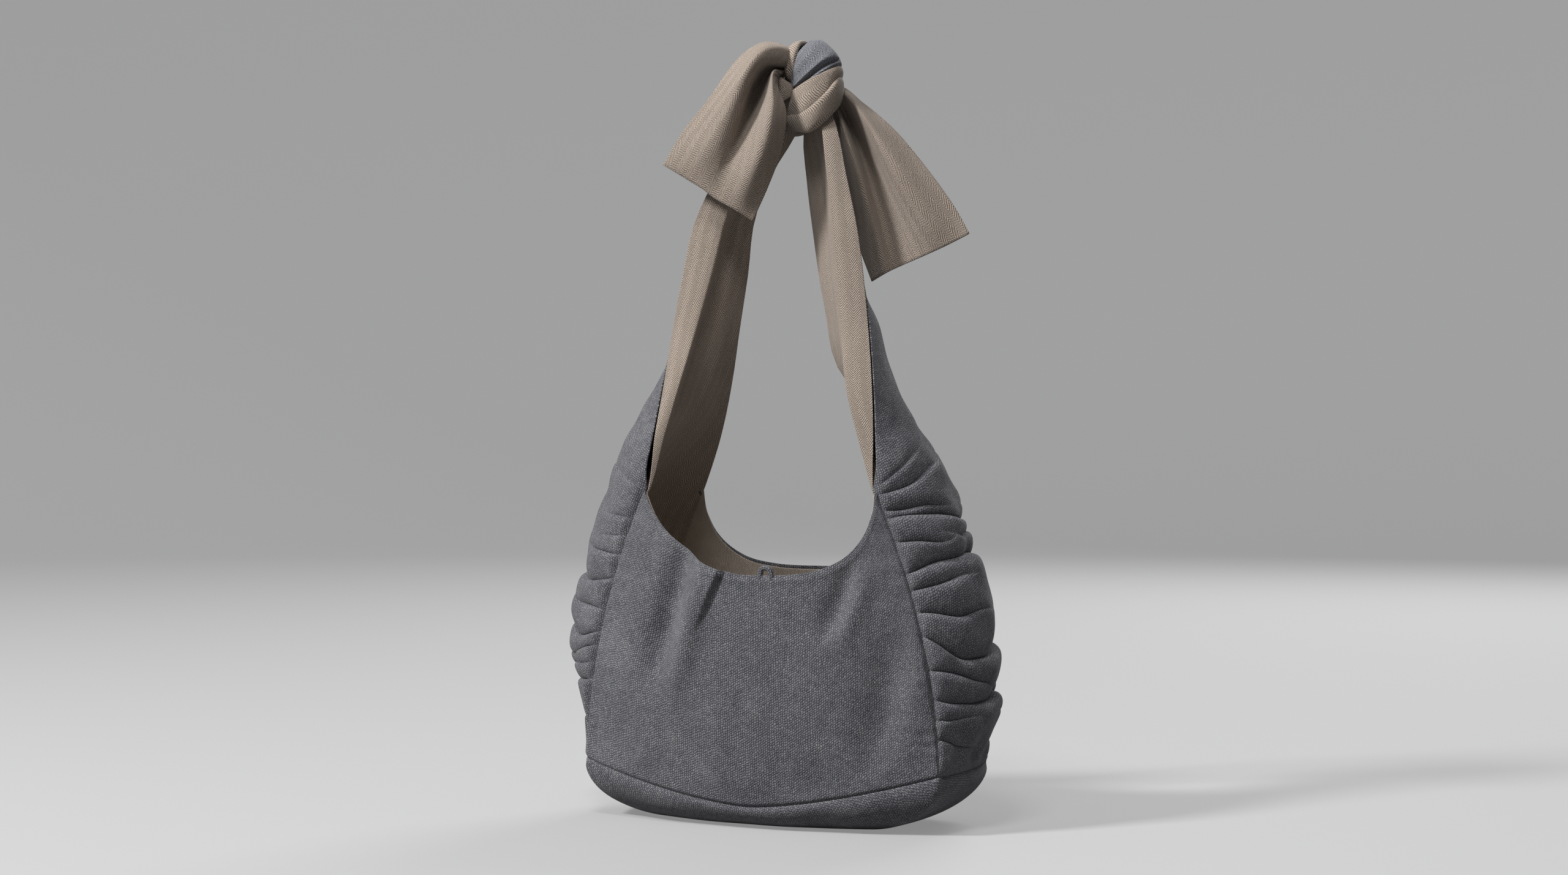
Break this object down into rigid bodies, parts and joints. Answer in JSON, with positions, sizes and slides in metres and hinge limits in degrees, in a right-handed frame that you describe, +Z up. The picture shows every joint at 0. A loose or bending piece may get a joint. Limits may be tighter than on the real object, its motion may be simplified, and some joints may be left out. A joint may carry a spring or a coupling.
{
  "type": "knotted-strap shoulder bag",
  "caption": "Soft tweed shoulder bag with gathered side gussets that rise into straps tied in a knot, a scooped open mouth and a beige herringbone lining.",
  "frame": {"origin": "middle of the flat base, on the surface that the bag stands on", "axes": "+Z up, +X to the right of a viewer facing the front, front facing -Y"},
  "size_m": [0.4064, 0.178, 0.67],
  "materials": {
    "tweed": "coarse blue-grey tweed with light and dark flecks, matte",
    "lining": "beige wool herringbone, matte",
    "button": "dark horn-like button, satin"
  },
  "bodies": {
    "bag": {"front_panel": "tweed", "back_panel": "tweed", "left_gusset": "tweed", "right_gusset": "tweed", "base_panel": "tweed", "front_lining": "lining", "back_lining": "lining", "left_gusset_lining": "lining", "right_gusset_lining": "lining", "base_lining": "lining", "left_strap_root": "tweed", "left_strap_root_lining": "lining", "right_strap_root": "tweed", "right_strap_root_lining": "lining", "closure_button": "button"},
    "handle": {"left_strap": "tweed", "left_strap_lining": "lining", "right_strap": "tweed", "right_strap_lining": "lining", "knot_core": "tweed", "knot_lower_turn": "lining", "knot_upper_turn": "lining"},
    "left_tail": {"left_tail": "tweed", "left_tail_lining": "lining"},
    "right_tail": {"right_tail": "tweed", "right_tail_lining": "lining"},
    "loop": {"closure_loop": "tweed"}
  },
  "joints": [
    {"name": "handle_fold", "type": "hinge", "parent": "bag", "child": "handle", "pos_m": [0, 0, 0.332], "axis": [1, 0, 0], "range_deg": [-90, 90], "deforming": ["left_strap_root", "left_strap_root_lining", "right_strap_root", "right_strap_root_lining"]},
    {"name": "left_tail_swing", "type": "hinge", "parent": "handle", "child": "left_tail", "pos_m": [0.0051, -0.0175, 0.664], "axis": [0, 1, 0], "range_deg": [0, 80]},
    {"name": "right_tail_swing", "type": "hinge", "parent": "handle", "child": "right_tail", "pos_m": [0.0517, 0.0093, 0.64], "axis": [0, -1, 0], "range_deg": [0, 80]},
    {"name": "loop_flip", "type": "hinge", "parent": "bag", "child": "loop", "pos_m": [0.0197, -0.0842, 0.21695], "axis": [1, 0, 0], "range_deg": [-90, 90], "stiffness_Nm_per_rad": 0.002}
  ]
}
